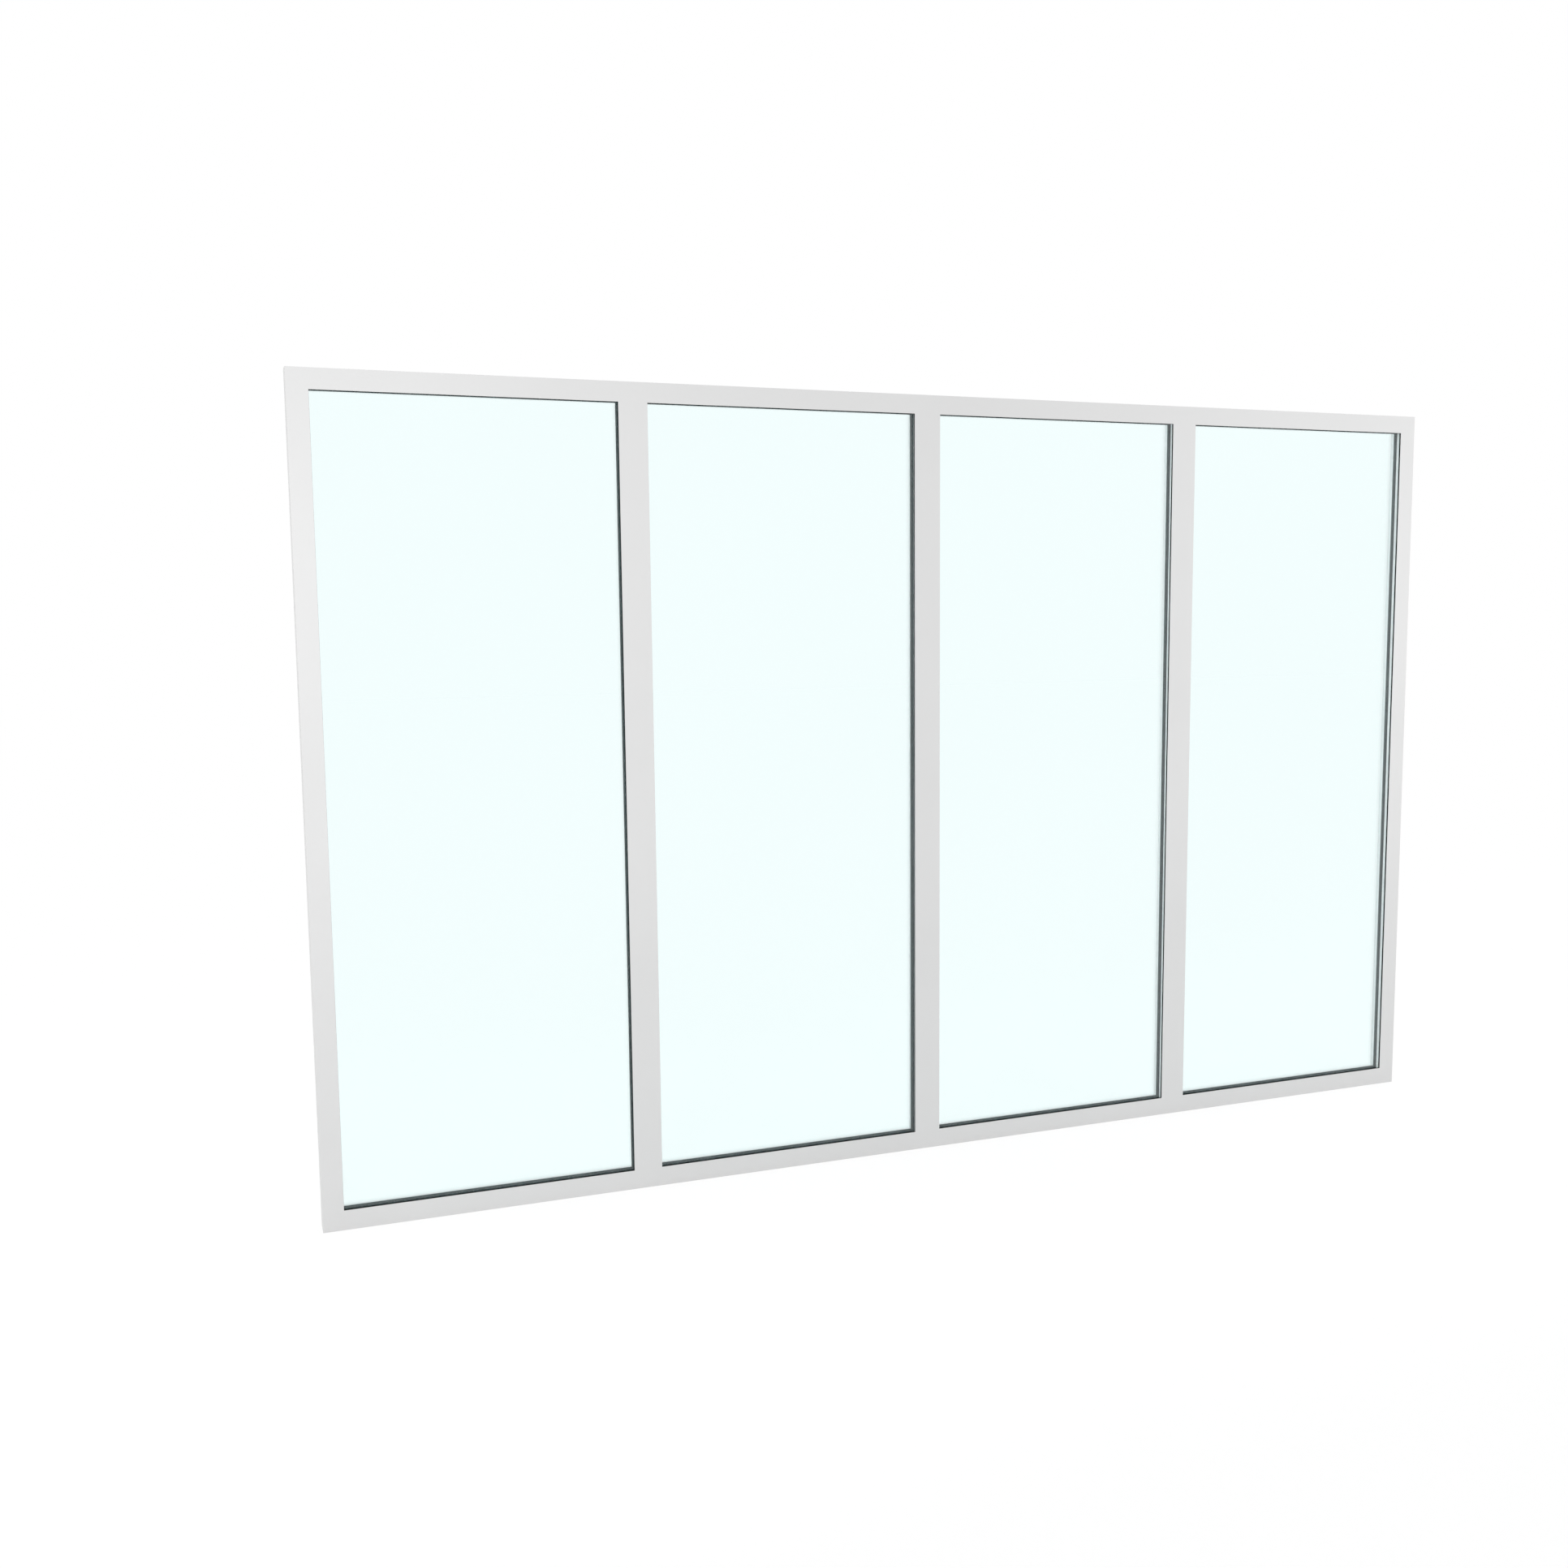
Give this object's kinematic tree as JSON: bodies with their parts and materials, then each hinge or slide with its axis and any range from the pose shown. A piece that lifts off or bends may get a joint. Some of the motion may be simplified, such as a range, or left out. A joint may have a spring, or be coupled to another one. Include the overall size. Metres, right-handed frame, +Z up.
{
  "type": "fixed window",
  "caption": "Wide fixed window: tall double-glazed lights side by side in a slim white aluminium frame with upright mullions and inside glazing beads.",
  "frame": {"origin": "middle of the sill's underside, halfway through the frame's depth", "axes": "+X along the window to the right as seen from outside, +Y from the outside towards the room, +Z up"},
  "size_m": [3.412, 0.057, 2.2],
  "materials": {
    "frame": "satin",
    "beads": "satin",
    "outer_glass": "gloss",
    "inner_glass": "gloss",
    "spacers": "matte",
    "edge_seals": "matte",
    "outer_gaskets": "matte",
    "inner_gaskets": "matte",
    "setting_blocks": "matte"
  },
  "bodies": {
    "root": {"bead_1_bottom": "beads", "bead_1_left": "beads", "bead_1_right": "beads", "bead_1_top": "beads", "bead_2_bottom": "beads", "bead_2_left": "beads", "bead_2_right": "beads", "bead_2_top": "beads", "bead_3_bottom": "beads", "bead_3_left": "beads", "bead_3_right": "beads", "bead_3_top": "beads", "bead_4_bottom": "beads", "bead_4_left": "beads", "bead_4_right": "beads", "bead_4_top": "beads", "edge_seals": "edge_seals", "frame_head": "frame", "frame_jamb_left": "frame", "frame_jamb_right": "frame", "frame_sill": "frame", "inner_gasket_1": "inner_gaskets", "inner_gasket_2": "inner_gaskets", "inner_gasket_3": "inner_gaskets", "inner_gasket_4": "inner_gaskets", "inner_pane_1": "inner_glass", "inner_pane_2": "inner_glass", "inner_pane_3": "inner_glass", "inner_pane_4": "inner_glass", "mullion_1": "frame", "mullion_2": "frame", "mullion_3": "frame", "outer_gasket_1": "outer_gaskets", "outer_gasket_2": "outer_gaskets", "outer_gasket_3": "outer_gaskets", "outer_gasket_4": "outer_gaskets", "outer_pane_1": "outer_glass", "outer_pane_2": "outer_glass", "outer_pane_3": "outer_glass", "outer_pane_4": "outer_glass", "setting_blocks": "setting_blocks", "spacer_1": "spacers", "spacer_2": "spacers", "spacer_3": "spacers", "spacer_4": "spacers"}
  },
  "joints": []
}
